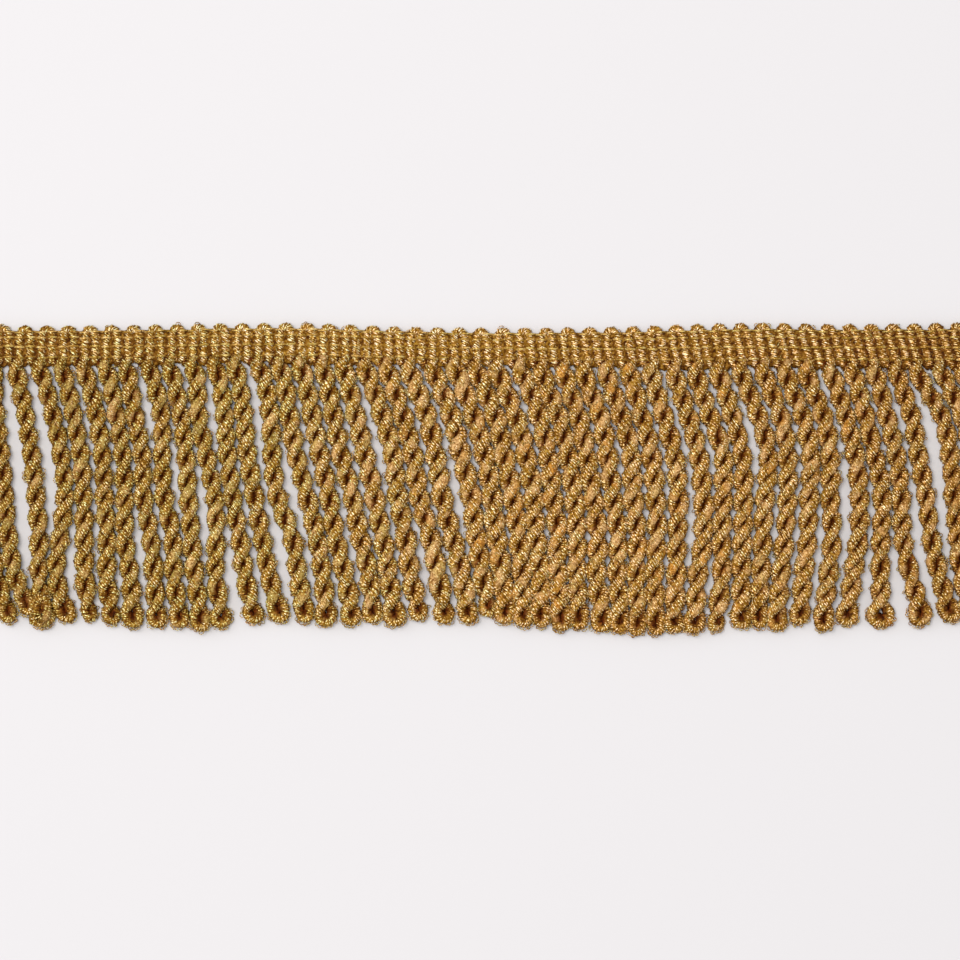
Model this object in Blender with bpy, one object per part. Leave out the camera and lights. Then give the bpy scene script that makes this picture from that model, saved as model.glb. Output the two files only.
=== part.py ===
"""A cut length of metallic gold cord fringe trim, laid flat.

One gimp cord makes the whole trim. It runs up, over and down through the heading, so the heading
is a band of ribs with a scalloped top edge, and between two scallops it drops as a two-ply
twisted strand that ends in a loop. X runs along the trim, +Y towards the scallops, +Z up from
the surface that the trim lies on.
"""

import math
from collections import namedtuple

import bmesh
import bpy

MM = 0.001

# Heading
SCALLOPS = 48
PITCH = 5.43 * MM  # from one scallop to the next: two ribs
BAND_HEIGHT = 9.9 * MM  # lower edge to the tops of the scallops
BAND_THICK = 3.0 * MM
LEAN_DEGREES = 15.0  # the ribs stand upright at the left end and lean over at the right end
LEAN_STARTS = -40.0 * MM
LEAN_ENDS = 98.0 * MM
SCALLOP_FOOT = 0.80  # share of the band's height where the tops part from each other
BEND_THICK = 0.95  # where the cord bends over at a scallop's top there is no groove in its middle

# Across one scallop, from notch to notch: the share of a pitch from its middle, the height of
# the ribs there as a share of the band's thickness, and how far up its top edge reaches.
RibColumn = namedtuple("RibColumn", "across thick top")
RIB_COLUMNS = (
    RibColumn(-0.50, 0.55, 0.835),
    RibColumn(-0.36, 0.93, 0.920),
    RibColumn(-0.20, 0.98, 0.985),
    RibColumn(0.00, 0.64, 1.000),
    RibColumn(0.20, 0.98, 0.985),
    RibColumn(0.36, 0.93, 0.920),
)

# Up the band, from the lower edge to the tops: the ribs are drawn in where a binding thread
# crosses them and swell between the threads.
RibRow = namedtuple("RibRow", "share swell")
RIB_ROWS = (
    RibRow(0.000, 0.70),
    RibRow(0.114, 0.86),
    RibRow(0.266, 1.02),
    RibRow(0.405, 0.86),
    RibRow(0.530, 1.02),
    RibRow(0.660, 0.86),
    RibRow(0.800, 1.00),
    RibRow(0.930, 0.95),
    RibRow(1.000, 0.55),
)

# The band isn't quite straight: how far its lower edge and its tops stand off their mean lines.
BandWave = namedtuple("BandWave", "along foot top")
BAND_WAVE = (
    BandWave(-130.3 * MM, 0.2 * MM, -0.2 * MM),
    BandWave(-90.0 * MM, 0.2 * MM, -0.2 * MM),
    BandWave(-45.0 * MM, 0.7 * MM, 0.4 * MM),
    BandWave(-10.0 * MM, 0.0 * MM, -0.7 * MM),
    BandWave(30.0 * MM, -0.5 * MM, -0.7 * MM),
    BandWave(70.0 * MM, -0.5 * MM, 0.4 * MM),
    BandWave(95.0 * MM, -0.5 * MM, 0.1 * MM),
    BandWave(130.3 * MM, -0.5 * MM, 0.6 * MM),
)

HEADING_GOLD = (0.38, 0.21, 0.05, 1.0)
STRAND_GOLD = (0.34, 0.19, 0.06, 1.0)
YARN_ROUGHNESS = 0.45
YARN_METALLIC = 0.35

# Fringe
PIECE_GAP = 0.3 * MM  # between the heading and the strip
STRIP_WIDTH = 1.0 * MM
STRIP_THICK = 3.0 * MM
ROOT_WIDTH = 3.2 * MM
STRAND_WIDE = 4.6 * MM  # the two plies side by side
STRAND_NARROW = 2.8 * MM  # one ply over the other
PLY_THICK = 2.3 * MM
STRAND_THICK = 4.4 * MM
EYES = 12  # half turns of twist down a strand, each an eye between the plies
FIRST_EYE = 3.4 * MM  # depth below the heading
LAST_EYE_ABOVE_END = 3.6 * MM
TWIST_EASES = 0.114  # the half turns grow longer towards the end by this share
TWIST_SLANT = 0.6 * MM  # how far a ply slants across the strand as it passes over
LOOP_THICK = 2.8 * MM
LEAST_PITCH = 4.95 * MM  # strands are pushed apart until they lie this far apart
LEAST_GAP = 0.3 * MM
PUSHES = 60
DEPTH_STEP = 2.5 * MM
DEPTH_STEPS = 29

# How far each strand has drifted to the right of its own notch at each of these depths.
DRIFT_DEPTHS = (3.3, 13.3, 23.3, 33.3, 43.3, 53.3, 62.3)

# The round end of a strand: how far above its tip, and the share of the loop's width and thickness.
LoopRing = namedtuple("LoopRing", "above_tip width thick")
LOOP_RINGS = (
    LoopRing(LAST_EYE_ABOVE_END, 1.00, 1.00),
    LoopRing(1.2 * MM, 0.86, 0.95),
    LoopRing(0.0 * MM, 0.42, 0.65),
)

# One row a strand, left to right, in millimetres: the drifts, how far down the strand reaches
# and how wide its end loop is.
Strand = namedtuple("Strand", "at_3 at_13 at_23 at_33 at_43 at_53 at_62 reach loop")
STRANDS = (
    Strand(0.9, 2.5, 3.5, 4.3, 5.3, 6.5, 9.4, 65.3, 5.0),
    Strand(0.5, 0.3, 2.0, 3.0, 3.8, 5.7, 10.0, 64.8, 5.4),
    Strand(0.8, 2.9, 4.4, 5.5, 6.2, 6.3, 8.2, 66.5, 6.6),
    Strand(1.6, 4.4, 6.4, 7.4, 6.1, 5.1, 7.4, 65.2, 5.2),
    Strand(1.7, 4.1, 5.8, 6.4, 6.7, 6.8, 7.8, 65.0, 5.2),
    Strand(1.8, 4.4, 5.8, 6.3, 7.0, 6.9, 7.9, 65.8, 5.4),
    Strand(1.9, 3.9, 5.5, 6.0, 5.9, 7.4, 7.8, 66.6, 5.4),
    Strand(1.4, 3.0, 4.9, 5.1, 7.0, 7.9, 8.4, 66.5, 5.4),
    Strand(1.9, 4.3, 4.4, 4.9, 7.0, 7.4, 8.7, 66.6, 5.2),
    Strand(1.6, 3.7, 5.0, 5.5, 6.3, 7.2, 8.5, 67.4, 5.2),
    Strand(2.1, 2.7, 4.6, 6.7, 7.1, 6.9, 8.3, 66.6, 5.6),
    Strand(2.3, 3.7, 4.6, 5.7, 7.5, 8.9, 10.9, 65.5, 6.4),
    Strand(1.6, 3.1, 4.1, 5.8, 7.6, 9.5, 12.0, 65.2, 5.6),
    Strand(2.4, 4.4, 4.8, 6.0, 9.8, 11.3, 12.9, 65.3, 5.4),
    Strand(2.0, 3.6, 5.4, 8.1, 10.5, 12.0, 12.9, 66.2, 5.4),
    Strand(1.8, 3.9, 6.0, 8.2, 9.7, 12.2, 13.8, 66.0, 5.4),
    Strand(1.6, 3.8, 5.8, 8.5, 10.5, 12.8, 13.7, 65.4, 5.2),
    Strand(1.4, 4.0, 6.3, 8.7, 10.6, 12.2, 13.6, 66.2, 5.4),
    Strand(1.6, 5.2, 7.9, 9.0, 11.0, 12.3, 14.4, 64.8, 5.6),
    Strand(1.6, 4.9, 7.5, 8.9, 11.7, 13.7, 15.4, 65.5, 5.4),
    Strand(1.6, 5.5, 7.7, 9.2, 11.8, 14.3, 15.7, 65.5, 5.2),
    Strand(2.2, 6.2, 8.7, 11.1, 12.4, 14.0, 15.9, 63.8, 5.4),
    Strand(2.6, 6.3, 9.2, 10.9, 12.0, 13.4, 14.1, 65.5, 5.0),
    Strand(2.2, 6.3, 8.6, 10.6, 12.3, 13.0, 13.0, 66.4, 5.0),
    Strand(2.0, 6.0, 8.6, 10.5, 10.7, 12.3, 12.1, 66.5, 5.2),
    Strand(2.7, 6.4, 8.7, 9.8, 11.2, 10.8, 11.9, 67.4, 5.4),
    Strand(2.0, 5.8, 8.2, 9.8, 10.4, 10.3, 10.8, 67.0, 5.2),
    Strand(2.1, 5.4, 7.4, 9.0, 10.2, 9.8, 11.3, 67.6, 5.4),
    Strand(1.6, 5.4, 7.2, 8.5, 9.9, 9.6, 10.7, 67.8, 5.0),
    Strand(1.8, 5.3, 7.7, 8.2, 9.2, 9.0, 9.1, 68.5, 5.0),
    Strand(2.2, 5.0, 7.4, 8.3, 8.8, 8.0, 8.4, 68.4, 5.2),
    Strand(2.0, 5.1, 7.7, 8.6, 8.3, 8.1, 7.5, 67.8, 5.4),
    Strand(2.6, 5.7, 8.3, 9.4, 9.6, 8.0, 7.4, 67.9, 5.6),
    Strand(2.5, 5.7, 9.0, 9.0, 8.5, 8.7, 7.4, 67.5, 5.2),
    Strand(2.8, 6.0, 8.3, 8.7, 8.4, 8.1, 8.1, 66.8, 5.2),
    Strand(2.9, 7.0, 9.4, 8.6, 8.0, 7.5, 6.9, 66.7, 5.0),
    Strand(3.3, 7.1, 8.8, 8.7, 8.1, 7.0, 6.1, 67.2, 5.0),
    Strand(3.2, 7.2, 9.2, 8.8, 8.4, 7.3, 6.6, 65.8, 5.2),
    Strand(3.1, 6.9, 8.5, 8.6, 9.1, 8.1, 7.0, 67.4, 5.2),
    Strand(3.9, 7.1, 9.4, 10.5, 10.3, 8.8, 7.4, 66.0, 5.8),
    Strand(4.0, 6.5, 8.9, 10.8, 10.4, 10.3, 10.4, 66.4, 7.0),
    Strand(4.0, 6.5, 8.9, 9.9, 10.4, 12.5, 15.0, 66.0, 6.0),
    Strand(3.9, 7.2, 8.9, 10.8, 12.0, 14.1, 16.8, 65.0, 6.0),
    Strand(3.8, 9.4, 11.5, 12.3, 13.2, 14.4, 16.6, 64.6, 5.4),
    Strand(4.5, 9.0, 11.2, 12.2, 13.2, 14.7, 16.7, 65.2, 5.2),
    Strand(4.3, 8.8, 10.9, 12.0, 13.3, 14.8, 16.8, 65.7, 5.2),
    Strand(4.1, 8.6, 10.7, 11.9, 13.1, 14.6, 16.6, 65.3, 5.2),
)


def clear_scene():
    for obj in list(bpy.data.objects):
        bpy.data.objects.remove(obj, do_unlink=True)


def make_collection(name):
    collection = bpy.data.collections.new(name)
    bpy.context.scene.collection.children.link(collection)
    return collection


def make_material(name, colour):
    material = bpy.data.materials.new(name)
    material.use_nodes = True
    shader = material.node_tree.nodes["Principled BSDF"]
    shader.inputs["Base Color"].default_value = colour
    shader.inputs["Roughness"].default_value = YARN_ROUGHNESS
    shader.inputs["Metallic"].default_value = YARN_METALLIC
    return material


def smooth_step(share):
    share = min(max(share, 0.0), 1.0)
    return share * share * (3 - 2 * share)


def smooth_read(at, places, values):
    """The value at a place, on a smooth curve through the given values."""
    last = len(places) - 1
    at = min(max(at, places[0]), places[last])
    right = next(i for i in range(1, last + 1) if at <= places[i] or i == last)
    left = right - 1
    span = places[right] - places[left]
    t = (at - places[left]) / span

    def slope(i):
        before, after = max(i - 1, 0), min(i + 1, last)
        return (values[after] - values[before]) / (places[after] - places[before])

    return (
        values[left] * (2 * t**3 - 3 * t**2 + 1)
        + values[right] * (3 * t**2 - 2 * t**3)
        + span * slope(left) * (t**3 - 2 * t**2 + t)
        + span * slope(right) * (t**3 - t**2)
    )


def lean_at(along):
    """The slope of the ribs there: how far they move right for each unit down."""
    share = smooth_step((along - LEAN_STARTS) / (LEAN_ENDS - LEAN_STARTS))
    return math.tan(math.radians(LEAN_DEGREES)) * share


def foot_at(along):
    """The height of the heading's lower edge."""
    return smooth_read(along, [w.along for w in BAND_WAVE], [w.foot for w in BAND_WAVE])


def top_at(along):
    """The height of the scallops' tops."""
    wave = smooth_read(along, [w.along for w in BAND_WAVE], [w.top for w in BAND_WAVE])
    return BAND_HEIGHT + wave


def notch_at(number):
    """Where along the trim the notch after that many scallops lies."""
    return (number - SCALLOPS / 2) * PITCH


def band_point(column, row):
    """The top surface of the heading at one column and one row of its grid."""
    scallop, part = divmod(column, len(RIB_COLUMNS))
    rib = RIB_COLUMNS[part]
    band = RIB_ROWS[row]
    along = notch_at(scallop) + (rib.across + 0.5) * PITCH
    share = band.share
    if share > SCALLOP_FOOT:
        above = (share - SCALLOP_FOOT) / (1 - SCALLOP_FOOT)
        share = SCALLOP_FOOT + above * (rib.top - SCALLOP_FOOT)
    low = foot_at(along)
    y = low + share * (top_at(along) - low)
    thick = rib.thick
    if rib.across == 0:
        bend = smooth_step((share - SCALLOP_FOOT) / (1 - SCALLOP_FOOT))
        thick += bend * (BEND_THICK - rib.thick)
    x = along + lean_at(along) * (SCALLOP_FOOT * BAND_HEIGHT - y)
    return x, y, BAND_THICK * thick * band.swell


def heading_mesh():
    """A unit square grid, its points raised into the ribs, then drawn down to a flat underside."""
    columns = SCALLOPS * len(RIB_COLUMNS)
    rows = len(RIB_ROWS) - 1
    mesh = bmesh.new()
    bmesh.ops.create_grid(mesh, x_segments=columns, y_segments=rows, size=0.5)
    for point in mesh.verts:
        column = round((point.co.x + 0.5) * columns)
        row = round((point.co.y + 0.5) * rows)
        point.co = band_point(column, row)
    under = bmesh.ops.extrude_face_region(mesh, geom=mesh.faces[:])
    for point in under["geom"]:
        if isinstance(point, bmesh.types.BMVert):
            point.co.z = 0.0
    bmesh.ops.recalc_face_normals(mesh, faces=mesh.faces[:])
    return mesh


def kept_apart(places):
    """The places along the trim, with any two neighbours that lie too close pushed apart."""
    places = list(places)
    for _ in range(PUSHES):
        for left in range(len(places) - 1):
            lack = LEAST_PITCH - (places[left + 1] - places[left])
            if lack > 0:
                places[left] -= lack / 2
                places[left + 1] += lack / 2
    return places


def root_of(number):
    """Where a strand leaves the heading's lower edge."""
    notch = notch_at(number + 1)
    return notch + lean_at(notch) * (SCALLOP_FOOT * BAND_HEIGHT - foot_at(notch))


def strand_lines():
    """For each strand, where along the trim it lies at each depth."""
    depths = (0.0, *(depth * MM for depth in DRIFT_DEPTHS))
    levels = []
    for level in range(DEPTH_STEPS):
        depth = level * DEPTH_STEP
        row = []
        for number, strand in enumerate(STRANDS):
            notch = notch_at(number + 1)
            drifts = [root_of(number) - notch, *(drift * MM for drift in strand[:len(DRIFT_DEPTHS)])]
            row.append(notch + smooth_read(depth, depths, drifts))
        levels.append(kept_apart(row))
    return list(zip(*levels))


def line_at(line, depth):
    level = max(depth / DEPTH_STEP, 0.0)
    step = min(int(level), DEPTH_STEPS - 2)
    return line[step] + (level - step) * (line[step + 1] - line[step])


def room_at(lines, number, depth):
    """Half the width that a strand may take there without reaching its neighbours."""
    here = line_at(lines[number], depth)
    sides = [line_at(lines[n], depth) for n in (number - 1, number + 1) if 0 <= n < len(lines)]
    return (min(abs(side - here) for side in sides) - LEAST_GAP) / 2


def eye_depth(strand, number):
    """The depth of one eye of the twist."""
    share = number / (EYES - 1)
    span = strand.reach * MM - LAST_EYE_ABOVE_END - FIRST_EYE
    return FIRST_EYE + span * ((1 - TWIST_EASES) * share + TWIST_EASES * share**2)


Ring = namedtuple("Ring", "depth half_width low high slant")


def strand_rings(lines, number):
    """The sections of one strand below its root: eye, crossing, eye, and the loop at its end."""
    strand = STRANDS[number]
    middle = STRAND_THICK / 2
    eye_low, eye_high = middle - PLY_THICK / 2, middle + PLY_THICK / 2
    rings = []
    for eye in range(EYES - 1):
        depth = eye_depth(strand, eye)
        next_depth = eye_depth(strand, eye + 1)
        rings.append(Ring(depth, STRAND_WIDE / 2, eye_low, eye_high, -TWIST_SLANT))
        crossing = (depth + next_depth) / 2
        rings.append(Ring(crossing, STRAND_NARROW / 2, 0.0, STRAND_THICK, TWIST_SLANT))
    loop_depths = [strand.reach * MM - ring.above_tip for ring in LOOP_RINGS]
    half_loop = min(strand.loop * MM / 2, *(room_at(lines, number, d) for d in loop_depths))
    for depth, ring in zip(loop_depths, LOOP_RINGS):
        rings.append(Ring(depth, half_loop * ring.width, 0.0, LOOP_THICK * ring.thick, 0.0))
    return rings


def ring_points(mesh, line, ring):
    """The four corners of one section: top left, top right, low right, low left."""
    corners = []
    for side, height in ((-1, 1), (1, 1), (1, -1), (-1, -1)):
        depth = ring.depth - side * height * ring.slant
        x = line_at(line, depth) + side * ring.half_width
        z = ring.high if height > 0 else ring.low
        corners.append(mesh.verts.new((x, -depth, z)))
    return corners


def join_rings(mesh, upper, lower):
    """The four sides between two sections, each cut across the way that the plies run."""
    for corner in range(4):
        after = (corner + 1) % 4
        mesh.faces.new((upper[corner], upper[after], lower[corner]))
        mesh.faces.new((upper[after], lower[after], lower[corner]))


def strip_edges():
    """The X of every upright edge of the strip: its ends, and both sides of each root."""
    left = notch_at(0) + PIECE_GAP
    right_notch = notch_at(SCALLOPS)
    right = right_notch + lean_at(right_notch) * SCALLOP_FOOT * BAND_HEIGHT - PIECE_GAP
    edges = [left]
    for number in range(len(STRANDS)):
        root = root_of(number)
        edges += [root - ROOT_WIDTH / 2, root + ROOT_WIDTH / 2]
    return [*edges, right]


def strip_points(mesh, x):
    """The strip's four corners there: back top, back low, front top, front low."""
    back = foot_at(x) - PIECE_GAP
    front = back - STRIP_WIDTH
    places = ((back, STRIP_THICK), (back, 0.0), (front, STRIP_THICK), (front, 0.0))
    return [mesh.verts.new((x, y, z)) for y, z in places]


def fringe_mesh():
    """The narrow strip under the heading, with the strands growing out of its front."""
    mesh = bmesh.new()
    lines = strand_lines()
    columns = [strip_points(mesh, x) for x in strip_edges()]
    for number, (left, right) in enumerate(zip(columns, columns[1:])):
        mesh.faces.new((left[0], right[0], right[2], left[2]))
        mesh.faces.new((left[1], left[3], right[3], right[1]))
        mesh.faces.new((left[0], left[1], right[1], right[0]))
        is_root = number % 2 == 1
        if not is_root:
            mesh.faces.new((left[2], right[2], right[3], left[3]))
            continue
        strand = number // 2
        upper = [left[2], right[2], right[3], left[3]]
        for ring in strand_rings(lines, strand):
            lower = ring_points(mesh, lines[strand], ring)
            join_rings(mesh, upper, lower)
            upper = lower
        mesh.faces.new(upper)
    for end in (columns[0], columns[-1]):
        mesh.faces.new((end[0], end[2], end[3], end[1]))
    bmesh.ops.recalc_face_normals(mesh, faces=mesh.faces[:])
    return mesh


def place(mesh, name, collection, material):
    data = bpy.data.meshes.new(name)
    mesh.to_mesh(data)
    mesh.free()
    data.materials.append(material)
    obj = bpy.data.objects.new(name, data)
    collection.objects.link(obj)
    return obj


def centre_on_origin(pieces):
    """Moves the pieces together, so that the origin is under the middle of their common box."""
    points = [point.co for piece in pieces for point in piece.data.vertices]
    middle_x = (min(p.x for p in points) + max(p.x for p in points)) / 2
    middle_y = (min(p.y for p in points) + max(p.y for p in points)) / 2
    for piece in pieces:
        piece.location = (-middle_x, -middle_y, 0.0)


def main():
    clear_scene()
    collection = make_collection("cord_fringe_trim")
    heading_gold = make_material("heading_gold", HEADING_GOLD)
    strand_gold = make_material("strand_gold", STRAND_GOLD)
    heading = place(heading_mesh(), "heading", collection, heading_gold)
    fringe = place(fringe_mesh(), "fringe", collection, strand_gold)
    centre_on_origin([heading, fringe])


main()
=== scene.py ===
"""The looks of the cord fringe trim: ribs, plies, wrapped threads and loops around the CAD frame.

One gimp cord makes the whole trim: a soft ochre core with metallic thread wound round it. In the
heading it runs up, over and down as ribs bound by thin threads, and below it hangs as two-ply
strands that end in loops. Lengths are in millimetres until a mesh is made.
"""

import math
from collections import namedtuple

import bpy
import numpy as np
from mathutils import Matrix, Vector


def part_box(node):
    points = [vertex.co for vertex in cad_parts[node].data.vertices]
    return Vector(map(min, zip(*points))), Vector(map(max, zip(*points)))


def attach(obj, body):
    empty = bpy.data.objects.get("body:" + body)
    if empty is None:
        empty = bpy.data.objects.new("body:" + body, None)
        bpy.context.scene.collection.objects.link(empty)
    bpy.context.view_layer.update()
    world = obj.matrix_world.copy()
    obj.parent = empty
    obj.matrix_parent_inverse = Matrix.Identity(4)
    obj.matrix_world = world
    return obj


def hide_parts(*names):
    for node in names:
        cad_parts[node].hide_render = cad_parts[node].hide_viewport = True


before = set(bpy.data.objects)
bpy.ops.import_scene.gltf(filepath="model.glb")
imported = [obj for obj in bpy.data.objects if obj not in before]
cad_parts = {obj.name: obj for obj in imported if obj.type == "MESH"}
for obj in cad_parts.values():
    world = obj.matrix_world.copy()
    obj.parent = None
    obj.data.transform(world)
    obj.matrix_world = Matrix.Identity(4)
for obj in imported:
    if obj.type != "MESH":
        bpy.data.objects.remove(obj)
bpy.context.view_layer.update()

MM = 0.001
LOWEST = 0.02  # no yarn lies lower than this above the surface
TINY = 1e-9  # keeps a division clear of zero

# Random values over a cord: the step between them along it, and how many there are round it
Noise = namedtuple("Noise", "step sectors")

# A value that varies from its least by up to its extra
Spread = namedtuple("Spread", "least extra")

# Heading
SCALLOPS = 48
PITCH = 5.43
BAND_HEIGHT = 9.9
LEAN_DEGREES = 15.0
LEAN_STARTS = -40.0
LEAN_ENDS = 98.0
LEAN_PIVOT = 0.80  # a leaning rib keeps its place at this share of the height

BandWave = namedtuple("BandWave", "along foot top")
BAND_WAVE = (
    BandWave(-130.3, 0.2, -0.2),
    BandWave(-90.0, 0.2, -0.2),
    BandWave(-45.0, 0.7, 0.4),
    BandWave(-10.0, 0.0, -0.7),
    BandWave(30.0, -0.5, -0.7),
    BandWave(70.0, -0.5, 0.4),
    BandWave(95.0, -0.5, 0.1),
    BandWave(130.3, -0.5, 0.6),
)

# Strands
EYES = 12
FIRST_EYE = 3.4  # depth below the heading
LAST_EYE_ABOVE_END = 3.6
TWIST_EASES = 0.114  # how much the space between the eyes grows towards the end
LEAST_PITCH = 4.40  # between two neighbours, which push each other apart
PUSHES = 60
LEVELS = np.arange(29) * 2.5  # the depths at which a strand's place is worked out
DRIFT_DEPTHS = (3.3, 13.3, 23.3, 33.3, 43.3, 53.3, 62.3)

# How far right of its notch each strand lies at those depths, its length and its loop's width
Strand = namedtuple("Strand", "at_3 at_13 at_23 at_33 at_43 at_53 at_62 reach loop")
STRANDS = (
    Strand(0.9, 2.5, 3.5, 4.3, 5.3, 6.5, 9.4, 65.3, 5.0),
    Strand(0.5, 0.3, 2.0, 3.0, 3.8, 5.7, 9.8, 63.4, 5.2),
    Strand(0.8, 2.9, 4.4, 5.5, 6.2, 6.3, 7.0, 66.4, 7.2),
    Strand(1.6, 4.4, 6.4, 7.4, 6.1, 5.1, 7.4, 65.2, 5.2),
    Strand(1.7, 4.1, 5.8, 6.4, 6.7, 6.8, 7.8, 65.0, 5.2),
    Strand(1.8, 4.4, 5.8, 6.3, 7.0, 6.9, 7.9, 65.8, 5.4),
    Strand(1.9, 3.9, 5.5, 6.0, 5.9, 7.4, 7.8, 66.6, 5.4),
    Strand(1.4, 3.0, 4.9, 5.1, 7.0, 7.9, 8.4, 66.5, 5.4),
    Strand(1.9, 4.3, 4.4, 4.9, 7.0, 7.4, 8.7, 66.6, 5.2),
    Strand(1.6, 3.7, 5.0, 5.5, 6.3, 7.2, 8.5, 67.4, 5.2),
    Strand(2.1, 2.7, 4.6, 6.7, 7.1, 6.9, 8.3, 66.6, 5.6),
    Strand(2.3, 3.7, 4.6, 5.7, 7.5, 8.9, 10.9, 65.5, 6.4),
    Strand(1.6, 3.1, 4.1, 5.8, 7.6, 9.5, 12.0, 65.2, 5.6),
    Strand(2.4, 4.4, 4.8, 6.0, 9.8, 11.3, 12.9, 65.3, 5.4),
    Strand(2.0, 3.6, 5.4, 8.1, 10.5, 12.0, 12.9, 66.2, 5.4),
    Strand(1.8, 3.9, 6.0, 8.2, 9.7, 12.2, 13.8, 66.0, 5.4),
    Strand(1.6, 3.8, 5.8, 8.5, 10.5, 12.8, 13.7, 65.4, 5.2),
    Strand(1.4, 4.0, 6.3, 8.7, 10.6, 12.2, 13.6, 66.2, 5.4),
    Strand(1.6, 5.2, 7.9, 9.0, 11.0, 12.3, 14.4, 64.8, 5.6),
    Strand(1.6, 4.9, 7.5, 8.9, 11.7, 13.7, 15.4, 65.5, 5.4),
    Strand(1.6, 5.5, 7.7, 9.2, 11.8, 14.3, 15.7, 65.5, 5.2),
    Strand(2.2, 6.2, 8.7, 11.1, 12.4, 14.0, 15.9, 63.8, 5.4),
    Strand(2.6, 6.3, 9.2, 10.9, 12.0, 13.4, 14.1, 65.5, 5.0),
    Strand(2.2, 6.3, 8.6, 10.6, 12.3, 13.0, 13.0, 66.4, 5.0),
    Strand(2.0, 6.0, 8.6, 10.5, 10.7, 12.3, 12.1, 66.5, 5.2),
    Strand(2.7, 6.4, 8.7, 9.8, 11.2, 10.8, 11.9, 67.4, 5.4),
    Strand(2.0, 5.8, 8.2, 9.8, 10.4, 10.3, 10.8, 67.0, 5.2),
    Strand(2.1, 5.4, 7.4, 9.0, 10.2, 9.8, 11.3, 67.6, 5.4),
    Strand(1.6, 5.4, 7.2, 8.5, 9.9, 9.6, 10.7, 67.8, 5.0),
    Strand(1.8, 5.3, 7.7, 8.2, 9.2, 9.0, 9.1, 68.5, 5.0),
    Strand(2.2, 5.0, 7.4, 8.3, 8.8, 8.0, 8.4, 68.4, 5.2),
    Strand(2.0, 5.1, 7.7, 8.6, 8.3, 8.1, 7.5, 67.8, 5.4),
    Strand(2.6, 5.7, 8.3, 9.4, 9.6, 8.0, 7.4, 67.9, 5.6),
    Strand(2.5, 5.7, 9.0, 9.0, 8.5, 8.7, 7.4, 67.5, 5.2),
    Strand(2.8, 6.0, 8.3, 8.7, 8.4, 8.1, 8.1, 66.8, 5.2),
    Strand(2.9, 7.0, 9.4, 8.6, 8.0, 7.5, 6.9, 66.7, 5.0),
    Strand(3.3, 7.1, 8.8, 8.7, 8.1, 7.0, 6.1, 67.2, 5.0),
    Strand(3.2, 7.2, 9.2, 8.8, 8.4, 7.3, 6.6, 65.8, 5.2),
    Strand(3.1, 6.9, 8.5, 8.6, 9.1, 8.1, 7.0, 67.4, 5.2),
    Strand(3.9, 7.1, 9.4, 10.5, 10.3, 8.8, 7.4, 66.0, 5.8),
    Strand(4.0, 6.5, 8.9, 10.8, 10.4, 10.3, 10.4, 66.4, 7.0),
    Strand(4.0, 6.5, 8.9, 9.9, 10.4, 12.5, 15.0, 66.0, 6.0),
    Strand(3.9, 7.2, 8.9, 10.8, 12.0, 14.1, 16.8, 65.0, 6.0),
    Strand(3.8, 9.4, 11.5, 12.3, 13.2, 14.4, 16.6, 64.6, 5.4),
    Strand(4.5, 9.0, 11.2, 12.2, 13.2, 14.7, 16.7, 65.2, 5.2),
    Strand(4.3, 8.8, 10.9, 12.0, 13.3, 14.8, 16.8, 65.7, 5.2),
    Strand(4.1, 8.6, 10.7, 11.9, 13.1, 14.6, 16.6, 65.3, 5.2),
)

# The second strand's end lies across the third's, which is coiled
CROSSING = 1
CROSSING_FROM = 50.0
CROSSING_RAMP = 8
CROSSING_PITCH = 2.9
CROSSING_LIFT = 1.0
COILED = 2
COIL_WIDE = 1.5
COIL_HIGH = 3.2
COIL_CORD = 1.5
COIL_MID = 3.0
COIL_ABOVE_END = 0.6
COIL_STARTS = 215  # degrees
COIL_STOPS = -130
COIL_CLOSES = 0.8
COIL_POINTS = 40
COIL_LIT = 0.72

# The cord: radii are shares of its half size, which reaches the crests of the wound thread
FINE_STEP = 0.25
CORE = 0.80
CORE_BULGE = 0.12
CORE_ROUGH = 0.14
CORE_TIP = 0.05
CORE_SIDES = 8
CORE_STEP = 0.60
CORE_BUMPS = Noise(0.7, 6)
CORE_HUES = Noise(3.5, 2)
WRAP_PITCH = 0.58
WRAP_SIDES = 7
WRAP_END = 0.05
STRAND_WRAPS = 4  # threads wound side by side
RIB_WRAPS = 5
WRAP_HALF = 0.24
WRAP_HALF_VARIES = Spread(0.75, 0.45)
WRAP_FOOT = 0.68
WRAP_WANDER = 2.6
WRAP_WANDERS = Noise(0.8, 2)
CREST_VARIES = 0.26
CREST_SHARE = 0.6  # of its variation goes below the cord's half size
CREST_SLIPS = 0.24

# Patches where the soft core shows between the threads
PATCHES = Noise(1.4, 6)
PATCH_EDGE = 0.14
STRAND_PATCHES = 0.71  # the lower this is, the more of the soft core shows
RIB_PATCHES = 0.86
PATCHES_ON_TOP = 0.15  # the crests of a strand's plies show more of it
PATCH_LOW = 3.0
PATCH_RISE = 0.7

# How light the thread is, and the painted glints along it
TONE_LEAST = 0.35
TONE_FINE = 0.50
TONE_BROAD = 0.45
TONES = Noise(1.6, 3)
# The thread's share of tone in the deepest painted shade, and at most at its edges, a painted shade
# where it meets the core
TONE_IN_DARK = 0.08
TONE_AT_EDGES = 0.3
THREAD_HUES = Noise(4.0, 1)
STRAND_BEADS = 7.5  # painted glints in one turn of the thread
RIB_BEADS = 3.0
BEAD_SHIFT = 3  # a thread's first glint lies up to this many glints on
BEAD_WANDERS = 1.3  # a glint lies up to half of this many glints off its even place
BEAD_LEVEL = 0.56
BEAD_SWELLS = 0.48  # how far the painted glint rises and falls about that level
SPARKS = 2.2
# Painted highlight: the ribs' threads are this much lighter
RIB_GLINT = 1.34
RIB_REDDER = 0.12

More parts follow.
